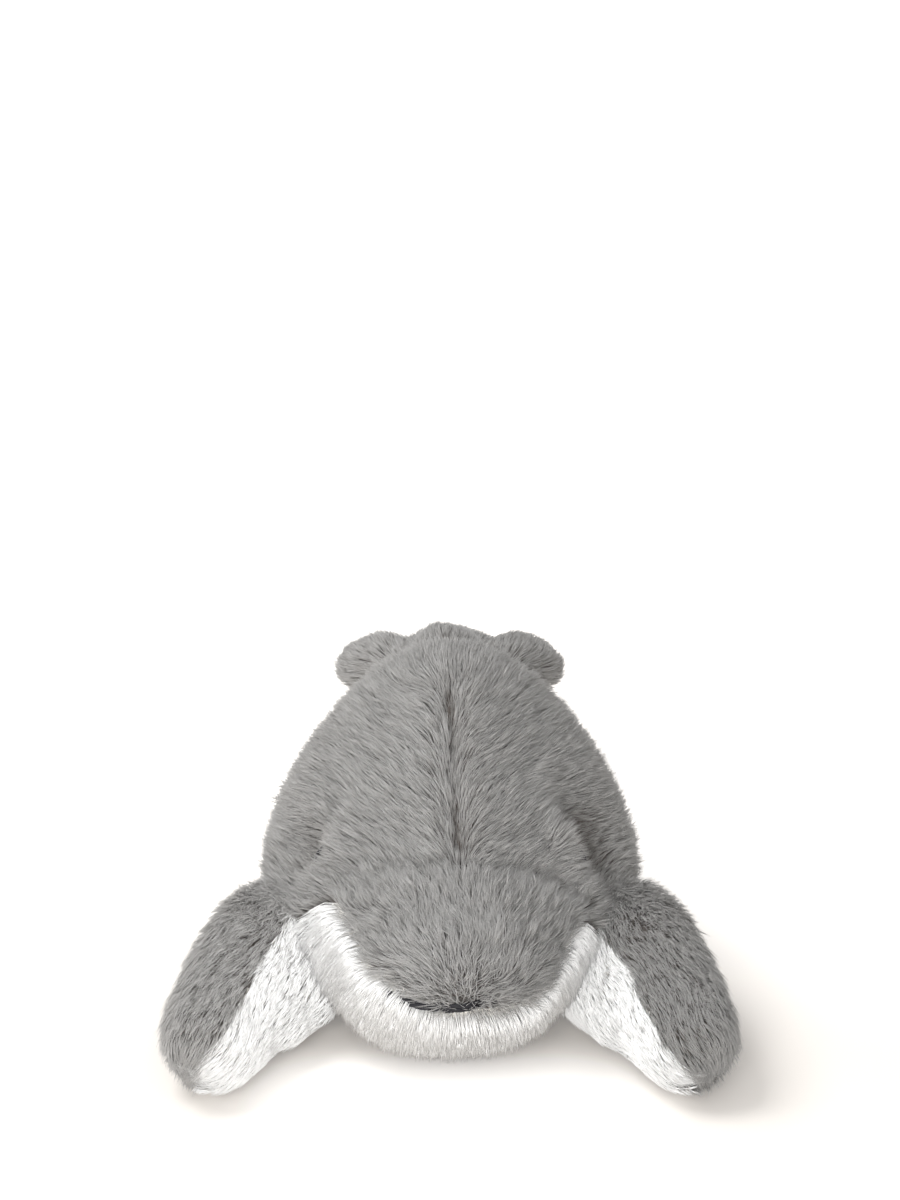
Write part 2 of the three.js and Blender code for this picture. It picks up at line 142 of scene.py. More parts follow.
def makeCamera():
    data = bpy.data.cameras.new("camera")
    data.lens = camera["lens"]
    data.sensor_width = camera["sensor"]
    eye = bpy.data.objects.new("camera", data)
    eye.location = camera["place"]
    eye.rotation_euler = (math.radians(camera["tilt"]), 0, 0)
    scene.collection.objects.link(eye)
    scene.camera = eye
    print("camera placed")


# Shader helpers
def newMaterial(name, settings):
    made = bpy.data.materials.new(name)
    made.use_nodes = True
    nodes, links = made.node_tree.nodes, made.node_tree.links
    shader = nodes["Principled BSDF"]
    for socket, value in settings.items():
        shader.inputs[socket].default_value = value
    return made, nodes, links, shader


def joinMath(nodes, links, operation, *values):
    node = nodes.new("ShaderNodeMath")
    node.operation = operation
    for k, value in enumerate(values):
        links.new(value, node.inputs[k])
    return node.outputs[0]


def mapRange(nodes, links, value, source, target, kind="SMOOTHSTEP"):
    node = nodes.new("ShaderNodeMapRange")
    node.interpolation_type = kind
    names = ("From Min", "From Max", "To Min", "To Max")
    for name, number in zip(names, (*source, *target)):
        node.inputs[name].default_value = number
    links.new(value, node.inputs["Value"])
    return node.outputs["Result"]


def colourRamp(nodes, low, high):
    ramp = nodes.new("ShaderNodeValToRGB")
    ramp.color_ramp.elements[0].color = (*low, 1)
    ramp.color_ramp.elements[1].color = (*high, 1)
    return ramp


def readAttribute(nodes, name):
    node = nodes.new("ShaderNodeAttribute")
    node.attribute_name = name
    return node.outputs["Fac"]


def eitherRay(nodes, links):
    # 1 where the eye sees the surface itself, or in gloss or glass
    path = nodes.new("ShaderNodeLightPath")
    either = joinMath(nodes, links, "MAXIMUM", path.outputs["Is Camera Ray"], path.outputs["Is Glossy Ray"])
    return joinMath(nodes, links, "MAXIMUM", either, path.outputs["Is Transmission Ray"])


# Light and floor; the floor's glow is painted light, for the eye and for gloss
light = {
    "world": 0.8, "aim": (0, -0.05, 0.05),
    "key": 27, "keyPlace": (-1.1, 0.3, 1.7), "keySize": 1.2,
    "fill": 49, "fillPlace": (-0.3, -2.4, 0.8), "fillSize": 1.6,
    "floorHalf": 6, "floor": (0.86, 0.82, 0.775), "floorRough": 0.9, "floorGloss": 0.1,
    # the glow strengths near, far, in front and at the edge are painted light on the floor
    "paper": 0.02, "paperFrom": -0.15, "far": 0.5, "farFrom": 0.05,
    "edge": 0.9, "edgeFrom": (0.5, 1.6),
    "front": 0.7, "frontFrom": (-0.125, 0.045), "frontTo": (-0.190, 0.110),
}


def makeLamp(name, place, power, size):
    data = bpy.data.lights.new(name, "AREA")
    data.energy = power
    data.size = size
    lamp = bpy.data.objects.new(name, data)
    lamp.location = place
    lamp.rotation_mode = "QUATERNION"
    lamp.rotation_quaternion = (Vector(light["aim"]) - Vector(place)).to_track_quat("-Z", "Y")
    scene.collection.objects.link(lamp)


def floorGlow(nodes, links):
    # painted light on the floor: more behind the toy, in front of its chin and far out, where it lifts the
    # floor to white over the toy's shadow and the lamps' falloff
    coords = nodes.new("ShaderNodeTexCoord")
    parts = nodes.new("ShaderNodeSeparateXYZ")
    links.new(coords.outputs["Object"], parts.inputs[0])
    aside = joinMath(nodes, links, "ABSOLUTE", parts.outputs["X"])
    deep = mapRange(nodes, links, parts.outputs["Y"], (light["paperFrom"], light["farFrom"]),
                    (light["paper"], light["far"]))
    (nearY, nearX), (farY, farX) = light["frontFrom"], light["frontTo"]
    ahead = mapRange(nodes, links, parts.outputs["Y"], (farY, nearY), (light["front"], 0))
    middle = mapRange(nodes, links, aside, (nearX, farX), (1, 0))
    front = joinMath(nodes, links, "MULTIPLY", ahead, middle)
    reach = nodes.new("ShaderNodeVectorMath")
    reach.operation = "LENGTH"
    links.new(coords.outputs["Object"], reach.inputs[0])
    edge = mapRange(nodes, links, reach.outputs["Value"], light["edgeFrom"], (0, light["edge"]))
    near = joinMath(nodes, links, "ADD", deep, front)
    return joinMath(nodes, links, "ADD", near, edge)


def floorMaterial():
    # matt paper that takes the shadow, lifted to white by painted light where it is seen
    paper, nodes, links, shader = newMaterial("floorPaper", {
        "Base Color": (*light["floor"], 1),
        "Roughness": light["floorRough"],
        "Specular IOR Level": light["floorGloss"],
    })
    glow = nodes.new("ShaderNodeEmission")
    links.new(floorGlow(nodes, links), glow.inputs["Strength"])
    none = nodes.new("ShaderNodeEmission")
    none.inputs["Strength"].default_value = 0
    seen = nodes.new("ShaderNodeMixShader")
    both = nodes.new("ShaderNodeAddShader")
    links.new(eitherRay(nodes, links), seen.inputs[0])
    links.new(none.outputs[0], seen.inputs[1])
    links.new(glow.outputs[0], seen.inputs[2])
    links.new(shader.outputs[0], both.inputs[0])
    links.new(seen.outputs[0], both.inputs[1])
    links.new(both.outputs[0], nodes["Material Output"].inputs["Surface"])
    return paper


def makeStage():
    world = bpy.data.worlds.new("studio")
    scene.world = world
    world.use_nodes = True
    nodes, links = world.node_tree.nodes, world.node_tree.links
    nodes.clear()
    out = nodes.new("ShaderNodeOutputWorld")
    soft = nodes.new("ShaderNodeBackground")
    soft.inputs["Strength"].default_value = light["world"]
    seen = nodes.new("ShaderNodeBackground")
    mix = nodes.new("ShaderNodeMixShader")
    links.new(eitherRay(nodes, links), mix.inputs[0])
    links.new(soft.outputs[0], mix.inputs[1])
    links.new(seen.outputs[0], mix.inputs[2])
    links.new(mix.outputs[0], out.inputs["Surface"])
    makeLamp("keyLamp", light["keyPlace"], light["key"], light["keySize"])
    makeLamp("fillLamp", light["fillPlace"], light["fill"], light["fillSize"])
    bm = bmesh.new()
    bmesh.ops.create_grid(bm, x_segments=2, y_segments=2, size=light["floorHalf"])
    mesh = toMesh("floor", bm)
    floor = link("floor", mesh)
    mesh.materials.append(floorMaterial())
    print("stage lit")


# Stuffed forms: the CAD solids of a body, drawn in by the depth of the pile and swollen again
swell = {
    "voxel": 5, "weld": 0.01, "smoothing": 6, "lastSmoothing": 3, "smoothBy": 0.5,
    "pressure": 3.0, "frames": 20, "cap": 1.0,
    "quality": 4, "mass": 0.3, "stretch": 12, "shear": 6, "bend": 0.6,
}


def addRound(bm, centre, radii, turn=None):
    # a round lump: it fills the form out where a limb is sewn on, at a fold or at a tip
    made = bmesh.ops.create_uvsphere(bm, u_segments=24, v_segments=12, radius=1)["verts"]
    bmesh.ops.scale(bm, vec=[r * mm for r in radii], verts=made)
    if turn is not None:
        bmesh.ops.rotate(bm, cent=(0, 0, 0), matrix=turn, verts=made)
    bmesh.ops.translate(bm, vec=[c * mm for c in centre], verts=made)


def smoothAll(bm, times):
    for _ in range(times):
        bmesh.ops.smooth_vert(bm, verts=bm.verts, factor=swell["smoothBy"],
                              use_axis_x=True, use_axis_y=True, use_axis_z=True)


def inflate(piece):
    # cloth under pressure; no point moves further than the cap
    cloth = piece.modifiers.new("swell", "CLOTH")
    settings = cloth.settings
    settings.quality = swell["quality"]
    settings.mass = swell["mass"]
    settings.tension_stiffness = swell["stretch"]
    settings.compression_stiffness = swell["stretch"]
    settings.shear_stiffness = swell["shear"]
    settings.bending_stiffness = swell["bend"]
    settings.use_pressure = True
    settings.uniform_pressure_force = swell["pressure"]
    settings.effector_weights.gravity = 0
    cloth.point_cache.frame_start = 1
    cloth.point_cache.frame_end = swell["frames"]
    before = readVectors(piece.data, "co")
    for step in range(1, swell["frames"] + 1):
        scene.frame_set(step)
    graph = bpy.context.evaluated_depsgraph_get()
    moved = readVectors(piece.evaluated_get(graph).data, "co") - before
    scene.frame_set(1)
    piece.modifiers.clear()
    far = np.linalg.norm(moved, axis=1, keepdims=True)
    writePoints(piece.data, before + moved * np.minimum(1, swell["cap"] * mm / np.maximum(far, tiny)))


def makePad(name, nodes, depth, lumps=(), shallow=(), floorGap=None,
            smoothing=swell["smoothing"], voxel=swell["voxel"]):
    # shallow: spots with a radius where the form is drawn in to another depth
    bm = bmesh.new()
    for node in nodes:
        bm.from_mesh(frame["nodes"][node].data)
    bmesh.ops.remove_doubles(bm, verts=bm.verts, dist=swell["weld"] * mm)
    for lump in lumps:
        addRound(bm, *lump)
    pad = link(name, toMesh(name, bm))
    remesh = pad.modifiers.new("even", "REMESH")
    remesh.mode = "VOXEL"
    remesh.voxel_size = voxel * mm
    applyModifiers(pad)
    bm = bmesh.new()
    bm.from_mesh(pad.data)
    smoothAll(bm, smoothing)
    bm.normal_update()
    for vert in bm.verts:
        here = depth
        for spot, radius, least in shallow:
            far = (vert.co - Vector(spot)).length / (radius * mm)
            here += (least - depth) * math.exp(-far * far)
        vert.co -= vert.normal * here * mm
    smoothAll(bm, swell["lastSmoothing"])
    bm.to_mesh(pad.data)
    bm.free()
    inflate(pad)
    smooth = pad.modifiers.new("round", "SUBSURF")
    smooth.levels = 1
    smooth.render_levels = 1
    applyModifiers(pad)
    if floorGap is not None:
        co = readVectors(pad.data, "co")
        co[:, 2] = np.maximum(co[:, 2], floorGap * mm)
        writePoints(pad.data, co)
    shadeSmooth(pad.data)
    print("pad", name, len(pad.data.polygons), "faces")
    return pad


def place(co):
    # metres to x, at, z in millimetres
    return co[:, 0] * perMetre, co[:, 1] * perMetre - snoutTipY, co[:, 2] * perMetre


def press(pad, weight, depth):
    # draws the cloth in where the weight is 1, by the depth in millimetres
    co, no = readVectors(pad.data, "co"), readVectors(pad.data, "normal")
    writePoints(pad.data, co - no * (weight(*place(co), no) * depth * mm)[:, None])


def paintCloth(pad, white):
    centres = np.array([p.center[:] for p in pad.data.polygons])
    pad.data.polygons.foreach_set("material_index", white(centres).astype(np.int32))


# The pile: closed tapered fibres that follow a comb direction, drawn together at their tips
fibre = {
    "sides": 3, "bendAt": 0.55, "weld": 1e-5, "sunk": 0.8, "floorGap": 0.15, "taper": 2.2,
    "liftOwn": 0.2, "liftLock": 0.16, "liftWave": 0.06, "liftWaveSize": 11, "liftRange": (0.1, 0.95),
    "bendUp": 0.25, "bendLift": 0.45, "bendOut": 0.22, "reach": 0.92,
    "pull": (0.5, 1.1), "bendPull": 0.3, "turn": 0.35, "thickLeast": 0.75, "thickMore": 0.5,
    "toneOwn": 0.7, "toneLock": 0.5, "toneWave": 0.4, "toneWaveSize": 14,
}
cell = {"middle": 0.5, "half": 0.36, "narrows": 0.8, "low": 0.12, "high": 0.76}


def fibreShape():
    # one straight fibre: heights from 0 to 1, directions around it, faces
    bm = bmesh.new()
    bmesh.ops.create_cone(bm, cap_ends=True, segments=fibre["sides"], radius1=1, radius2=0, depth=1)
    bmesh.ops.translate(bm, vec=(0, 0, 0.5), verts=bm.verts)
    whole = bm.verts[:] + bm.edges[:] + bm.faces[:]
    bmesh.ops.bisect_plane(bm, geom=whole, plane_co=(0, 0, fibre["bendAt"]), plane_no=(0, 0, 1))
    bmesh.ops.remove_doubles(bm, verts=bm.verts, dist=fibre["weld"])
    bmesh.ops.recalc_face_normals(bm, faces=bm.faces)
    bm.verts.index_update()
    co = np.array([v.co[:] for v in bm.verts])
    faces = [[v.index for v in f.verts] for f in bm.faces]
    bm.free()
    return np.round(co[:, 2], 3), unit(co[:, :2]), faces


fibreAlong, fibreAround, fibreFaces = fibreShape()


def scatter(pad, perArea, seed):
    # seeded points all over a form, with their normals; perArea is fibres to the square millimetre
    mesh = pad.data
    mesh.calc_loop_triangles()
    tri = np.empty(len(mesh.loop_triangles) * 3, np.int32)
    mesh.loop_triangles.foreach_get("vertices", tri)
    tri = tri.reshape(-1, 3)
    co, no = readVectors(mesh, "co"), readVectors(mesh, "normal")
    a, b, c = co[tri[:, 0]], co[tri[:, 1]], co[tri[:, 2]]
    area = np.linalg.norm(np.cross(b - a, c - a), axis=1) / 2
    rng = np.random.default_rng(seed)
    count = int(area.sum() * perMetre ** 2 * perArea)
    pick = rng.choice(len(tri), size=count, p=area / area.sum())
    u, v = rng.random(count), rng.random(count)
    over = u + v > 1
    u[over], v[over] = 1 - u[over], 1 - v[over]
    w = 1 - u - v
    t = tri[pick]
    points = co[t[:, 0]] * w[:, None] + co[t[:, 1]] * u[:, None] + co[t[:, 2]] * v[:, None]
    normals = unit(no[t[:, 0]] * w[:, None] + no[t[:, 1]] * u[:, None] + no[t[:, 2]] * v[:, None])
    return points, normals


def gatherLocks(points, fibresEach, rng):
    # the head fibre of each fibre's lock, and three random traits that a lock shares
    count = len(points)
    locks = max(1, int(count / fibresEach))
    heads = rng.choice(count, size=locks, replace=False)
    tree = KDTree(locks)
    for i, h in enumerate(heads):
        tree.insert(points[h], i)
    tree.balance()
    mine = np.array([tree.find(p)[1] for p in points])
    return heads[mine], rng.normal(size=(3, locks))[:, mine]


def bendFibres(points, normals, comb, pile, seed, rng):
    # where each fibre's corners lie, and its tone, with the pile's painted light added
    count = len(points)
    places = points * perMetre
    ruffle = pile.get("ruffle", 1)
    near, (lockLean, lockLift, lockTone) = gatherLocks(points, pile["lock"], rng)
    flow = unit(comb - normals * np.sum(comb * normals, axis=1, keepdims=True))
    sideways = np.cross(normals, flow)
    stray = rng.normal(size=count) * pile["stray"] + lockLean * pile["lean"]
    stray += wobble(places, pile["swirl"], seed + 1) * pile["swirlBy"]
    flow = unit(flow + sideways * stray[:, None])
    length = pile["length"] * mm * pile.get("trim", np.ones(count))
    length = length * (1 + pile["uneven"] * rng.uniform(-1, 1, count))
    own = fibre["liftOwn"] * rng.normal(size=count)
    lift = pile["lift"] * (1 + ruffle * (own + fibre["liftLock"] * lockLift))
    lift = lift + ruffle * fibre["liftWave"] * wobble(places, fibre["liftWaveSize"], seed + 2)
    lift = np.clip(lift + pile.get("stand", np.zeros(count)), *fibre["liftRange"])
    root = points - normals * fibre["sunk"] * mm
    bendUp = length * (fibre["bendUp"] + fibre["bendLift"] * lift)
    bend = root + normals * bendUp[:, None] + flow * (length * fibre["bendOut"])[:, None]
    tipOut = length * np.sqrt(1 - lift * lift) * fibre["reach"]
    tip = root + normals * (length * lift)[:, None] + flow * tipOut[:, None]
    pull = (pile["gather"] * rng.uniform(*fibre["pull"], count))[:, None]
    tip = tip + (tip[near] - tip) * pull
    bend = bend + (bend[near] - bend) * pull * fibre["bendPull"]
    axis = unit(tip - root)
    across = unit(np.cross(axis, normals) + tiny)
    outward = np.cross(axis, across)
    turn = rng.normal(size=count) * fibre["turn"] * ruffle
    right = -across * np.cos(turn)[:, None] - outward * np.sin(turn)[:, None]
    up = np.cross(axis, right)
    thick = pile["thick"] * mm / 2 * (fibre["thickLeast"] + fibre["thickMore"] * rng.random(count))
    co = np.empty((count, len(fibreAlong), 3))
    for k, t in enumerate(fibreAlong):
        middle = root * (1 - t) ** 2 + bend * (2 * t * (1 - t)) + tip * t * t
        taper = thick * (1 - t ** fibre["taper"])
        ring = right * fibreAround[k, 0] + up * fibreAround[k, 1] * pile["flat"]
        co[:, k] = middle + ring * taper[:, None]
    co[:, :, 2] = np.maximum(co[:, :, 2], fibre["floorGap"] * mm)
    tone = rng.normal(size=count) * fibre["toneOwn"] + lockTone * fibre["toneLock"]
    tone = tone + wobble(places, fibre["toneWaveSize"], seed + 3) * fibre["toneWave"]
    return co, tone + pile.get("pale", 0)


def fibreMesh(name, co):
    count, size = co.shape[:2]
    loops = np.concatenate([np.array(f) for f in fibreFaces])
    totals = np.array([len(f) for f in fibreFaces])
    each = np.arange(count)[:, None]
    mesh = bpy.data.meshes.new(name)
    mesh.vertices.add(count * size)
    mesh.vertices.foreach_set("co", co.astype(np.float32).ravel())
    mesh.loops.add(count * len(loops))
    mesh.loops.foreach_set("vertex_index", (each * size + loops[None]).astype(np.int32).ravel())
    mesh.polygons.add(count * len(totals))
    starts = np.concatenate([[0], np.cumsum(totals)[:-1]])
    mesh.polygons.foreach_set("loop_start", (each * len(loops) + starts[None]).astype(np.int32).ravel())
    mesh.update(calc_edges=True)
    # the cap at the root stays flat
    side = np.array([any(fibreAlong[k] > 0.5 for k in f) for f in fibreFaces])
    mesh.polygons.foreach_set("use_smooth", np.tile(side, count))
    return mesh


def mapFibres(mesh, count):
    # each fibre has a small cell of its own on the map
    cells = math.ceil(math.sqrt(count))
    corner = np.stack([np.arange(count) % cells, np.arange(count) // cells], axis=1) / cells
    local = []
    for k in (k for f in fibreFaces for k in f):
        angle = math.atan2(fibreAround[k, 1], fibreAround[k, 0])
        width = cell["half"] * math.sin(angle) * (1 - cell["narrows"] * fibreAlong[k])
        local.append((cell["middle"] + width, cell["low"] + cell["high"] * fibreAlong[k]))
    places = corner[:, None] + np.array(local)[None] / cells
    uv = mesh.uv_layers.new(name="OFBake")
    uv.data.foreach_set("uv", places.astype(np.float32).ravel())


def growPile(name, points, normals, comb, pile, seed):
    # comb: one direction for each point; pile: the look of this pile
    count = len(points)
    co, tone = bendFibres(points, normals, comb, pile, seed, np.random.default_rng(seed))
    mesh = fibreMesh(name, co)
    # a fibre that is cut short ends in the colour of its lower part
    along = np.outer(pile.get("trim", np.ones(count)), fibreAlong).ravel()
    for key, values in (("along", along), ("tone", np.repeat(tone, len(fibreAlong)))):
        attribute = mesh.attributes.new(key, "FLOAT", "POINT")
        attribute.data.foreach_set("value", values.astype(np.float32))
    mapFibres(mesh, count)
    mesh.update()
    triangles = count * int(sum(len(f) - 2 for f in fibreFaces))
    print("pile", name, count, "fibres", triangles, "triangles")
    return link(name, mesh)


# Finishes
greyLook = {
    "root": (0.185, 0.162, 0.142), "middle": (0.350, 0.338, 0.325), "middleAt": 0.35,
    "tip": (0.480, 0.474, 0.466), "vary": 0.16,
}
whiteLook = {
    "root": (0.94, 0.92, 0.88), "middle": (0.97, 0.965, 0.955), "middleAt": 0.25,
    "tip": (0.985, 0.985, 0.98), "vary": 0.015,
}
pileGloss = {"Roughness": 0.62, "Specular IOR Level": 0.25, "Sheen Weight": 0.2, "Sheen Roughness": 0.5}
clothGloss = {"Roughness": 0.9, "Sheen Weight": 0.2}
threadGloss = {"Roughness": 0.6, "Specular IOR Level": 0.2}
toneEnds = (-1.6, 1.6)
knitLook = {"rows": 220, "loose": 2, "bump": 0.4, "bumpDepth": 0.4}
threadLook = {"dark": (0.006, 0.006, 0.008), "light": (0.035, 0.035, 0.04), "twist": 1800}


def pileMaterial(name, look):
    mat, nodes, links, shader = newMaterial(name, pileGloss)
    ramp = colourRamp(nodes, look["root"], look["tip"])
    middle = ramp.color_ramp.elements.new(look["middleAt"])
    middle.color = (*look["middle"], 1)
    links.new(readAttribute(nodes, "along"), ramp.inputs["Fac"])
    vary = (1 - look["vary"], 1 + look["vary"])
    # the fibre's own random tone, and painted light where a pile has it, scale its colour
    tone = mapRange(nodes, links, readAttribute(nodes, "tone"), toneEnds, vary, "LINEAR")
    bright = nodes.new("ShaderNodeMix")
    bright.data_type = "RGBA"
    bright.blend_type = "MULTIPLY"
    bright.inputs["Factor"].default_value = 1
    # 6 and 7 are this node's two colours, and 2 is the colour it gives
    links.new(ramp.outputs["Color"], bright.inputs[6])
    links.new(tone, bright.inputs[7])
    links.new(bright.outputs[2], shader.inputs["Base Color"])
    return mat


def clothMaterial(name, colour, dark):
    # knitted backing cloth with rows of loops
    mat, nodes, links, shader = newMaterial(name, clothGloss)
    coords = nodes.new("ShaderNodeTexCoord")
    knit = nodes.new("ShaderNodeTexWave")
    knit.inputs["Scale"].default_value = knitLook["rows"]
    knit.inputs["Distortion"].default_value = knitLook["loose"]
    ramp = colourRamp(nodes, dark, colour)
    bump = nodes.new("ShaderNodeBump")
    bump.inputs["Strength"].default_value = knitLook["bump"]
    bump.inputs["Distance"].default_value = knitLook["bumpDepth"] * mm
    links.new(coords.outputs["Object"], knit.inputs["Vector"])
    links.new(knit.outputs["Fac"], ramp.inputs["Fac"])
    links.new(ramp.outputs["Color"], shader.inputs["Base Color"])
    links.new(knit.outputs["Fac"], bump.inputs["Height"])
    links.new(bump.outputs["Normal"], shader.inputs["Normal"])
    return mat


def threadMaterial():
    mat, nodes, links, shader = newMaterial("blackThread", threadGloss)
    coords = nodes.new("ShaderNodeTexCoord")
    twist = nodes.new("ShaderNodeTexNoise")
    twist.inputs["Scale"].default_value = threadLook["twist"]
    ramp = colourRamp(nodes, threadLook["dark"], threadLook["light"])
    links.new(coords.outputs["Object"], twist.inputs["Vector"])
    links.new(twist.outputs["Fac"], ramp.inputs["Fac"])
    links.new(ramp.outputs["Color"], shader.inputs["Base Color"])
    return mat


makeCamera()
makeStage()
greyPile = pileMaterial("greyPile", greyLook)
whitePile = pileMaterial("whitePile", whiteLook)
greyCloth = clothMaterial("greyCloth", (0.17, 0.15, 0.135), (0.11, 0.095, 0.085))
whiteCloth = clothMaterial("whiteCloth", (0.94, 0.92, 0.88), (0.88, 0.85, 0.79))
blackThread = threadMaterial()


def finishPile(piece, grey, node, body=None, blend=None):
    piece.data.materials.append(greyPile if grey else whitePile)
    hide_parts(node)
    if blend:
        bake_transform(piece)
    else:
        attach(piece, body)


def finishPad(pad, body, node):
    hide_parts(node)
    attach(pad, body)


# Body, head and tail stock: the lumps fill out the roots of tail, fins, back fin and flukes
bodyForm = {
    "depth": 6.5, "floorGap": 1.0, "dense": 2.0, "seed": 11,
    "lumps": (
        ((0, 76, 48), (48, 45, 44)),
        ((79, -95, 34), (24, 24, 24)),
        ((-79, -95, 34), (24, 24, 24)),
        ((0, 44, 110), (13, 22, 13)),
        ((0, 153, 52), (24, 18, 19)),
    ),
    "eyeReach": 12, "eyeDepth": 2.5, "eyeRadius": 10, "eyeCut": 0.95,
    "groups": (130, 190), "thinSeed": 5, "pileSeed": 100, "below": -0.4, "belowThin": 1.5,
}
backSeam = {
    "line": ((74, 90, 115, 150, 164, 190), (5, 3, 1, 0, 2.5, 0)),
    "starts": (72, 84), "ends": (168, 148), "facing": 0.1, "width": 4.5, "depth": 3.5,
    "bare": ((74, 80, 90, 105, 125, 140, 150, 158), (0, 1, 0.9, 0.4, 0.5, 1, 0.7, 0)),
    "cut": 0.7, "cutWidth": 1.8, "lay": 0.15, "layWidth": 5,
}
crease = {
    "at": 71, "curve": 0.0022, "width": 8, "depth": 4, "above": (58, 70),
    "across": ((-60, -20, 10, 50, 62), (0, 0.5, 1, 0.8, 0)),
}
temple = {
    "at": 107, "slope": 0.5, "top": 92, "depth": {1: 16, -1: 3}, "aside": (38, 50),
    "z": 78, "height": 19, "steep": 4, "gentle": 19,
    "cheek": 0.2, "brow": 0.35, "browZ": 88, "browHeight": 9, "ahead": 10, "aheadWidth": 6,
    "bareFrom": (-8, 2), "bareTo": 18, "bareFade": 8, "bareZ": 69, "bareHeight": 15,
    "bareAside": (40, 50), "cut": 0.85, "lay": 0.12,
}
whorl = {
    "x": 12, "at": 0, "z": 41, "spread": 350, "stand": 0.1, "tilt": (0, 0.25, 0.3),
    "part": 0.3, "partWidth": 5, "ruffle": 1.4, "seed": 6,
}
combing = {
    "partWidth": 5, "aside": 0.65, "asideMore": 0.75, "moreWidth": 11, "down": -0.12,
    "rear": 0.6, "rearWidth": 30, "rearFrom": (146, 166), "jaw": (0.012, 0.15, -1.0),
}
embroidered = ("eye_left", "eye_right", "mouth_stitching")
bodyNodes = [n for n in bodies["trunk"] + bodies["tail"] if n not in embroidered]
eyeSpots = [(sum(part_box("eye_" + s), Vector()) / 2)[:] for s in ("left", "right")]


def mouthHeight(at):
    t = np.clip(at / seams["mouthCornerAt"], 0, 1)
    rise = (seams["mouthCorner"] - seams["mouthFront"]) * t
    return seams["mouthFront"] + rise - 4 * seams["mouthSag"] * t * (1 - t)


def creaseLine(x):
    # where the forehead crease lies, behind the snout tip
    return crease["at"] + crease["curve"] * x * x


def besideSeam(x, at):
    # the seam along the back wanders a little
    return x - np.interp(at, *backSeam["line"])


def behindTemple(at, z):
    return at - (temple["at"] - temple["slope"] * np.maximum(0, temple["top"] - z))


def whorlNear(x, z):
    return np.exp(-((x - whorl["x"]) ** 2 + (z - whorl["z"]) ** 2) / whorl["spread"])


def seamWeight(x, at, z, no):
    weight = bell(besideSeam(x, at), backSeam["width"])
    weight = weight * smoothStep(*backSeam["starts"], at) * smoothStep(*backSeam["ends"], at)
    return weight * (no[:, 2] > backSeam["facing"])


def creaseWeight(x, at, z, no):
    across = np.interp(x, *crease["across"])
    return bell(at - creaseLine(x), crease["width"]) * smoothStep(*crease["above"], z) * across


def templeHollow(at, z):
    # steep at the cheek, gentle on the flank behind it, with a swelling in front that is fullest above
    off = behindTemple(at, z)
    level = bell(z - temple["z"], temple["height"])
    cheek = temple["cheek"] * level + temple["brow"] * bell(z - temple["browZ"], temple["browHeight"])
    hollow = level * bell(off, np.where(off < 0, temple["steep"], temple["gentle"]))
    return hollow - cheek * bell(off + temple["ahead"], temple["aheadWidth"])


def bodyPress(pad):
    press(pad, seamWeight, backSeam["depth"])
    press(pad, creaseWeight, crease["depth"])
    for side, depth in temple["depth"].items():
        press(pad, lambda x, at, z, no: templeHollow(at, z) * smoothStep(*temple["aside"], side * x), depth)


def bodyTrim(points, panel):
    # how much of its length the pile keeps, and how far it stands up
    x, at, z = place(points)
    off = besideSeam(x, at)
    strength = np.interp(at, *backSeam["bare"])
    keep = 1 - backSeam["cut"] * strength * bell(off, backSeam["cutWidth"])
    stand = -backSeam["lay"] * strength * bell(off, backSeam["layWidth"])
    stand += whorl["stand"] * whorlNear(x, z) * (panel == "snout")
    # behind the cheek the pile is cut short and laid down; the cut fibres end in their dark root colour,
    # which is partly painted shade in the hollow
    behind = behindTemple(at, z)
    past = np.maximum(behind - temple["bareTo"], 0) / temple["bareFade"]
    level = (z - temple["bareZ"]) / temple["bareHeight"]
    bare = smoothStep(*temple["bareFrom"], behind) * np.exp(-past ** 2 - level ** 2)
    bare = bare * smoothStep(*temple["bareAside"], x)
    keep *= 1 - temple["cut"] * bare
    stand -= temple["lay"] * bare
    for spot in eyeSpots:
        eye = np.linalg.norm(points - np.array(spot), axis=1) * perMetre
        keep *= 1 - bodyForm["eyeCut"] * bell(eye, bodyForm["eyeRadius"])
    return keep, stand


def panelOf(points):
    # which sewn panel a point on the body lies in
    x, at, z = place(points)
    slant = np.interp(x, *seams["mouthSlant"])
    low = np.interp(at, [0, seams["loinAt"], seams["tailEndAt"]],
                    [seams["bellySeam"], seams["bellySeam"], seams["tailSeam"]])
    share = np.clip((seams["mouthCorner"] + slant - z) / (seams["mouthCorner"] - seams["bellySeam"]), 0, 1)
    jawEnd = seams["mouthCornerAt"] + (seams["throatAt"] - seams["mouthCornerAt"]) * share
    jawEnd = jawEnd + seams["jawMore"] * smoothStep(*seams["jawMoreFrom"], x)
    below = z < mouthHeight(at) + slant
    panel = np.where(z < low, "belly", np.where(x > 0, "left", "right")).astype("<U12")
    panel[(at < creaseLine(x)) & ~below] = "snout"
    panel[(at < jawEnd) & below] = "jaw"
    tail = at > seams["tailStart"]
    panel[tail] = np.char.add("tail", panel[tail])
    return panel


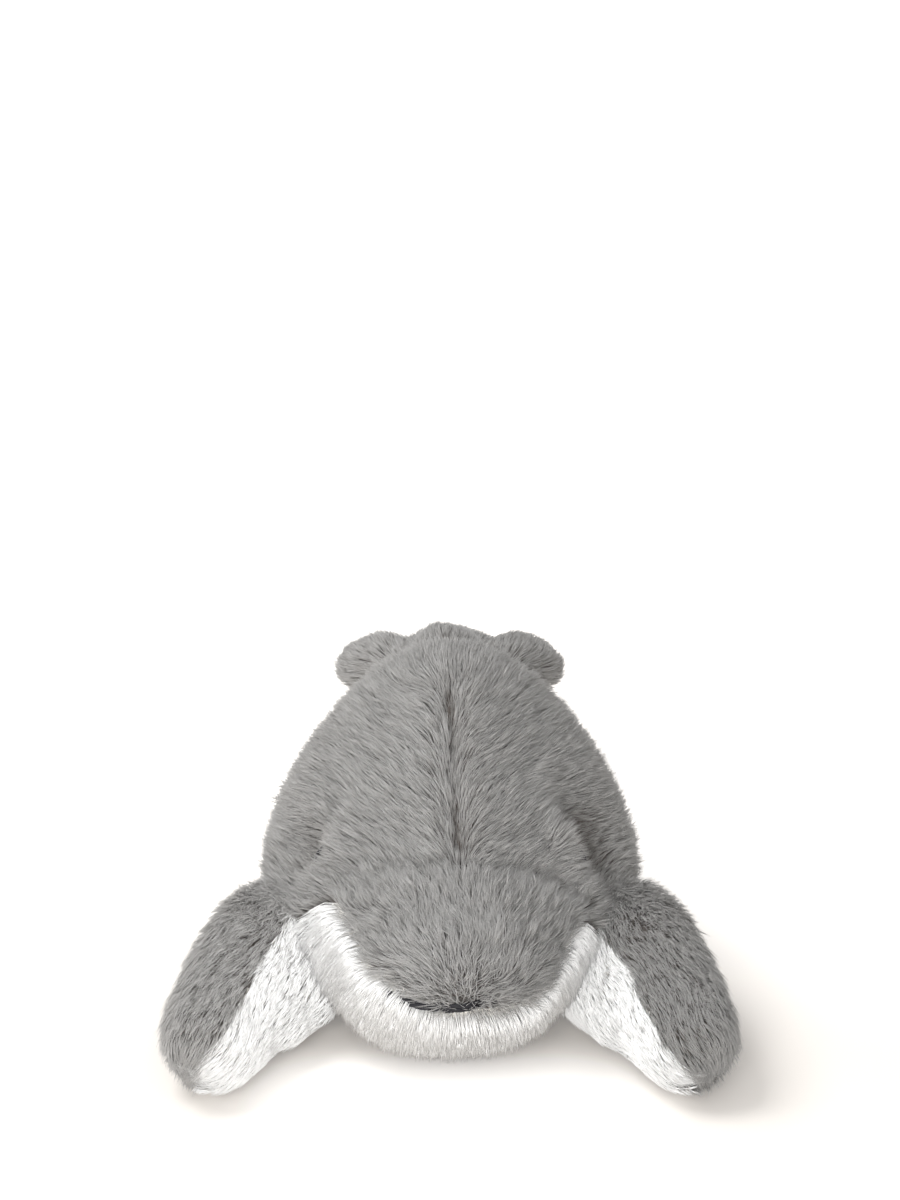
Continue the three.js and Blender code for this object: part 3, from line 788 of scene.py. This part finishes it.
def bodyComb(points, panel):
    # parted along the back seam, out of a whorl on the snout, down on the jaw
    x, at, z = place(points)
    count = len(points)
    off = besideSeam(x, at)
    aside = combing["aside"] + combing["asideMore"] * bell(off, combing["moreWidth"])
    parted = np.tanh(off / combing["partWidth"]) * aside
    rear = combing["rear"] * np.tanh(x / combing["rearWidth"])
    side = parted + (rear - parted) * smoothStep(*combing["rearFrom"], at)
    comb = np.stack([side, np.ones(count), np.full(count, combing["down"])], axis=1)
    radial = unit(np.stack([x - whorl["x"], at - whorl["at"], z - whorl["z"]], axis=1))
    radial = radial + np.array(whorl["tilt"])
    radial[:, 0] += whorl["part"] * np.tanh((x - whorl["x"]) / whorl["partWidth"])
    noise = np.random.default_rng(whorl["seed"]).normal(size=radial.shape)
    radial += noise * whorlNear(x, z)[:, None] * whorl["ruffle"]
    snout = panel == "snout"
    comb[snout] = radial[snout]
    out, back, down = combing["jaw"]
    jaw = panel == "jaw"
    comb[jaw] = unit(np.stack([x * out, np.full(count, back), np.full(count, down)], axis=1))[jaw]
    belly = np.char.find(panel, "belly") >= 0
    comb[belly] = (0, 1, 0)
    return comb


bodyPile = {
    "length": 14, "uneven": 0.2, "lift": 0.44, "stray": 0.12, "lean": 0.1, "swirl": 38, "swirlBy": 0.2,
    "lock": 8, "gather": 0.25, "thick": 0.46, "flat": 0.6,
}
whiteNap = {
    "length": 12, "uneven": 0.15, "lift": 0.4, "stray": 0.1, "lean": 0.05, "gather": 0.15, "thick": 0.58,
    "ruffle": 0.4,
}
snoutNap = {"lean": 0.28, "swirl": 22, "swirlBy": 0.4, "lock": 10, "gather": 0.32}
jawNap = dict(whiteNap, length=15.5)
# for each piece: its panel, its node, what sets its nap apart and the share of the points it keeps
bodyPieces = {
    "backPileLeft": ("left", "back_panel_left", {}, 0.8),
    "backPileRight": ("right", "back_panel_right", {}, 0.8),
    "snoutPile": ("snout", "snout_panel", snoutNap, 1),
    "jawPile": ("jaw", "jaw_panel", jawNap, 0.8),
    "bellyPile": ("belly", "belly_panel", whiteNap, 0.22),
    "tailPileLeft": ("tailleft", "tail_left_panel", {}, 0.55),
    "tailPileRight": ("tailright", "tail_right_panel", {}, 0.55),
    "tailPileUnder": ("tailbelly", "tail_under_panel", whiteNap, 0.5),
}
whitePanels = ["belly", "jaw", "tailbelly"]


def makeBodyPad():
    pad = makePad(
        "bodyStuffing", bodyNodes, bodyForm["depth"], lumps=bodyForm["lumps"],
        shallow=[(spot, bodyForm["eyeReach"], bodyForm["eyeDepth"]) for spot in eyeSpots],
        floorGap=bodyForm["floorGap"],
    )
    bodyPress(pad)
    pad.data.materials.append(greyCloth)
    pad.data.materials.append(whiteCloth)
    paintCloth(pad, lambda c: np.isin(panelOf(c), whitePanels))
    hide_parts("head_filling", "trunk_filling", "tail_filling")
    return pad


def growBody(pad):
    points, normals = scatter(pad, bodyForm["dense"], bodyForm["seed"])
    panel = panelOf(points)
    comb = bodyComb(points, panel)
    keep, stand = bodyTrim(points, panel)
    chance = np.random.default_rng(bodyForm["thinSeed"]).random(len(points))
    chance = chance * (1 + bodyForm["belowThin"] * (normals[:, 2] < bodyForm["below"]))
    at = place(points)[1]
    first, last = bodyForm["groups"]
    for order, (name, (key, node, nap, share)) in enumerate(bodyPieces.items()):
        inside = (panel == key) & (chance < share)
        groups = {"": inside}
        if key in ("left", "right"):
            groups = {
                "Front": inside & (at < first),
                "Middle": inside & (at >= first) & (at < last),
                "Rear": inside & (at >= last),
            }
        for part, (end, group) in enumerate(groups.items()):
            look = dict(bodyPile, trim=keep[group], stand=stand[group])
            look.update(nap)
            seed = bodyForm["pileSeed"] + 10 * order + part
            grown = growPile(name + end, points[group], normals[group], comb[group], look, seed)
            finishPile(grown, key not in whitePanels, node, blend=("trunk", "tail"))


bodyPad = makeBodyPad()
growBody(bodyPad)
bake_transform(bodyPad)

# Limbs: side fins, back fin and flukes
limbPile = {
    "length": 13.5, "uneven": 0.15, "lift": 0.33, "stray": 0.09, "lean": 0.07, "swirl": 30, "swirlBy": 0.2,
    "lock": 8, "gather": 0.18, "thick": 0.46, "flat": 0.6,
}
limbThin = {"share": 0.55, "facing": (-0.2, -0.6)}


def thinBelow(points, normals, seed):
    # fewer fibres where a limb faces the floor
    lost = limbThin["share"] * smoothStep(*limbThin["facing"], normals[:, 2])
    kept = np.random.default_rng(seed).random(len(points)) > lost
    return points[kept], normals[kept]


def growPair(form, body, points, normals, comb, first):
    # the two grey panels of a limb, the first where "first" is true
    look = dict(limbPile, **form["pile"])
    for (name, node), inside in zip(form["panels"], (first, ~first)):
        seed = form["pileSeed"] + len(name)
        grown = growPile(name, points[inside], normals[inside], comb[inside], look, seed)
        finishPile(grown, True, node, body=body)


# Side fins: folds fill out the inner edge; the seam and the painted light differ from side to side
finForm = {
    "pivot": (80, -95, 34), "tip": (109, -190, 17), "face": (0.865, 0.243, 0.438), "length": 98,
    "depth": 4.6, "tipDepth": 0, "tipReach": 26, "floorGap": 1.0,
    "folds": (
        ((61, -116, 18), (17, 26, 17)),
        ((71, -136, 15), (16, 21, 14)),
        ((84, -153, 13), (14, 19, 12)),
    ),
    # painted light: the fin on the toy's right is painted lighter and the one on its left darker, as the
    # light falls on them
    "seam": {1: -8, -1: -2}, "pale": {1: -1.2, -1: 1.3},
    "seed": {1: 22, -1: 21}, "pileSeed": {1: 310, -1: 300},
    "dense": 1.45, "thinSeed": 23, "comb": (0.15, 0, -0.12),
    "rootOut": 14, "rootReach": 22, "rootRough": 0.7, "rootSeed": 9, "rootCut": 0.2, "rootStand": 0.3,
}
finWhite = dict(whiteNap, length=14, lift=0.23, stray=0.07, uneven=0.1, thick=0.64)


def finFrame(side):
    mirror = np.array([side, 1, 1])
    pivot = np.array(finForm["pivot"]) * mirror
    along = unit((np.array(finForm["tip"]) - np.array(finForm["pivot"])) * mirror)
    face = np.array(finForm["face"]) * mirror
    face = unit(face - along * (face @ along))
    return pivot * mm, along, face, mirror


def makeFin(label, side):
    pivot, along, face, mirror = finFrame(side)
    body = "fin_" + label
    name = "fin" + label.title()
    tip = pivot + along * finForm["length"] * mm
    pad = makePad(
        name + "Stuffing", bodies[body], finForm["depth"], floorGap=finForm["floorGap"],
        lumps=[((side * x, y, z), radii) for (x, y, z), radii in finForm["folds"]],
        shallow=[(tip, finForm["tipReach"], finForm["tipDepth"])],
    )
    pad.data.materials.append(greyCloth)
    pad.data.materials.append(whiteCloth)
    seam = finForm["seam"][side] * mm
    paintCloth(pad, lambda c: (c - pivot) @ face < seam)
    finishPad(pad, body, body + "_filling")
    points, normals = scatter(pad, finForm["dense"], finForm["seed"][side])
    points, normals = thinBelow(points, normals, finForm["thinSeed"])
    outer = (points - pivot) @ face > seam
    rootSpot = pivot + face * finForm["rootOut"] * mm
    rough = bell(np.linalg.norm(points - rootSpot, axis=1), finForm["rootReach"] * mm)
    comb = np.tile(along, (len(points), 1)) + np.array(finForm["comb"]) * mirror
    noise = np.random.default_rng(finForm["rootSeed"]).normal(size=comb.shape)
    comb += noise * (finForm["rootRough"] * rough)[:, None]
    for grey, inside in ((True, outer), (False, ~outer)):
        look = dict(limbPile, pale=finForm["pale"][side])
        look["trim"] = 1 - finForm["rootCut"] * rough[inside]
        look["stand"] = finForm["rootStand"] * rough[inside]
        if not grey:
            look.update(finWhite)
        key = "outer" if grey else "inner"
        full = name + key.title() + "Pile"
        seed = finForm["pileSeed"][side] + grey
        grown = growPile(full, points[inside], normals[inside], comb[inside], look, seed)
        finishPile(grown, grey, body + "_" + key + "_panel", body=body)


makeFin("left", 1)
makeFin("right", -1)

# Back fin: its tip is swept back along the slope of the back
dorsalForm = {
    "depth": 3.0, "voxel": 4, "smoothing": 3,
    "along": (0, 0.791, -0.611), "tip": (4, 68, 108.5), "tipRadii": (9, 16, 8),
    "dense": 1.5, "seed": 31, "comb": (0.1, 0.85, 0.4), "pile": {"length": 9, "lift": 0.28}, "pileSeed": 400,
    "panels": (("dorsalPileLeft", "dorsal_left_panel"), ("dorsalPileRight", "dorsal_right_panel")),
}


def makeDorsal():
    slope = Vector(dorsalForm["along"]).to_track_quat("Y", "Z").to_matrix()
    pad = makePad(
        "dorsalStuffing", bodies["dorsal"], dorsalForm["depth"],
        lumps=[(dorsalForm["tip"], dorsalForm["tipRadii"], slope)],
        smoothing=dorsalForm["smoothing"], voxel=dorsalForm["voxel"],
    )
    pad.data.materials.append(greyCloth)
    finishPad(pad, "dorsal", "dorsal_filling")
    points, normals = scatter(pad, dorsalForm["dense"], dorsalForm["seed"])
    comb = np.tile(np.array(dorsalForm["comb"]), (len(points), 1))
    growPair(dorsalForm, "dorsal", points, normals, comb, points[:, 0] > 0)


makeDorsal()

# Flukes: a dip on each side of the middle
flukeForm = {
    "depth": 4.2, "dipAside": 22, "dipWidth": 8, "dipDepth": 5,
    "dense": 1.6, "seed": 41, "thinSeed": 42, "spread": 0.55, "spreadWidth": 0.03,
    # painted light: the fluke pile is painted lighter, as light falls on the flukes
    "pile": {"length": 10.5, "lift": 0.27, "thick": 0.52, "pale": 1.7}, "pileSeed": 500,
    "panels": (("flukePileTop", "fluke_top_panel"), ("flukePileUnder", "fluke_under_panel")),
}


def dipWeight(x, at, z, no):
    return bell(np.abs(x) - flukeForm["dipAside"], flukeForm["dipWidth"]) * (no[:, 2] > 0)


def makeFlukes():
    pad = makePad("flukeStuffing", bodies["flukes"], flukeForm["depth"])
    press(pad, dipWeight, flukeForm["dipDepth"])
    pad.data.materials.append(greyCloth)
    finishPad(pad, "flukes", "fluke_filling")
    points, normals = scatter(pad, flukeForm["dense"], flukeForm["seed"])
    points, normals = thinBelow(points, normals, flukeForm["thinSeed"])
    spread = np.tanh(points[:, 0] / flukeForm["spreadWidth"])
    count = len(points)
    comb = np.stack([flukeForm["spread"] * spread, np.ones(count), np.zeros(count)], axis=1)
    growPair(flukeForm, "flukes", points, normals, comb, normals[:, 2] > 0)


makeFlukes()

# Eyes and mouth: black embroidery thread on the body's stuffed form
eyeForm = {"halfLength": 6.0, "halfHeight": 5.0, "threads": 14, "thick": 1.1, "out": 1.6, "arch": 1.6}
mouthForm = {
    "halfWidth": 36, "spots": 25, "curve": 0.0125, "span": 3, "rows": 4, "rowGap": 0.9, "loose": 0.3,
    "thick": 1.5, "arch": 0.5, "seed": 71,
    "out": ((-36, -26, -20, 0, 8, 14, 36), (0, 0.5, 2.5, 4, 4.5, 0.5, -2)),
}


def surfaceOf(pad):
    bm = bmesh.new()
    bm.from_mesh(pad.data)
    tree = BVHTree.FromBMesh(bm)
    bm.free()
    return tree


bodyTree = surfaceOf(bodyPad)


def addThread(bm, start, end, lift, thick):
    # one stitch: a slim spindle between two points, arched outwards in the middle
    made = bmesh.ops.create_uvsphere(bm, u_segments=6, v_segments=8, radius=1)["verts"]
    length = (end - start).length
    bmesh.ops.scale(bm, vec=(thick / 2, thick / 2, length / 2), verts=made)
    turn = (end - start).to_track_quat("Z", "Y").to_matrix()
    bmesh.ops.rotate(bm, cent=(0, 0, 0), matrix=turn, verts=made)
    bmesh.ops.translate(bm, vec=(start + end) / 2, verts=made)
    for vert in made:
        t = (vert.co - start).dot(end - start) / length ** 2
        vert.co += lift * (4 * t * (1 - t))


def finishThread(name, bm, node):
    mesh = toMesh(name, bm)
    shadeSmooth(mesh)
    mesh.materials.append(blackThread)
    piece = link(name, mesh)
    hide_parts(node)
    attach(piece, "trunk")
    print("thread", name, len(mesh.polygons), "faces")


def makeEye(label):
    lo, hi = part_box("eye_" + label)
    spot, normal, _, _ = bodyTree.find_nearest((lo + hi) / 2)
    back = Vector((0, 1, 0))
    ahead = (back - normal * back.dot(normal)).normalized()
    upward = normal.cross(ahead)
    middle = spot + normal * eyeForm["out"] * mm
    bm = bmesh.new()
    for k in range(eyeForm["threads"]):
        t = 2 * (k + 0.5) / eyeForm["threads"] - 1
        half = eyeForm["halfHeight"] * math.sqrt(1 - t * t)
        foot = middle + ahead * (t * eyeForm["halfLength"] * mm)
        arch = normal * (eyeForm["arch"] * mm * math.sqrt(1 - t * t))
        addThread(bm, foot - upward * half * mm, foot + upward * half * mm, arch, eyeForm["thick"] * mm)
    finishThread("eye" + label.title() + "Thread", bm, "eye_" + label)


def makeMouth():
    # rows of long stitches along the mouth seam
    rng = np.random.default_rng(mouthForm["seed"])
    bm = bmesh.new()
    spots = []
    for x in np.linspace(-mouthForm["halfWidth"], mouthForm["halfWidth"], mouthForm["spots"]):
        at = mouthForm["curve"] * x * x
        guess = Vector((x * mm, (snoutTipY + at) * mm, float(mouthHeight(at)) * mm))
        spot, normal, _, _ = bodyTree.find_nearest(guess)
        spots.append((spot + normal * float(np.interp(x, *mouthForm["out"])) * mm, normal))
    span, loose = mouthForm["span"], mouthForm["loose"]
    for row in range(mouthForm["rows"]):
        height = (row - (mouthForm["rows"] - 1) / 2) * mouthForm["rowGap"]
        for k in range(row % 2, len(spots) - span, 2):
            (a, na), (b, nb) = spots[k], spots[k + span]
            shift = Vector((0, 0, height + rng.uniform(-loose, loose))) * mm
            arch = (na + nb) * mouthForm["arch"] * mm
            addThread(bm, a + shift, b + shift, arch, mouthForm["thick"] * mm)
    finishThread("mouthThread", bm, "mouth_stitching")


makeEye("left")
makeEye("right")
makeMouth()

scene.view_settings.view_transform = "Standard"
print("scene done")
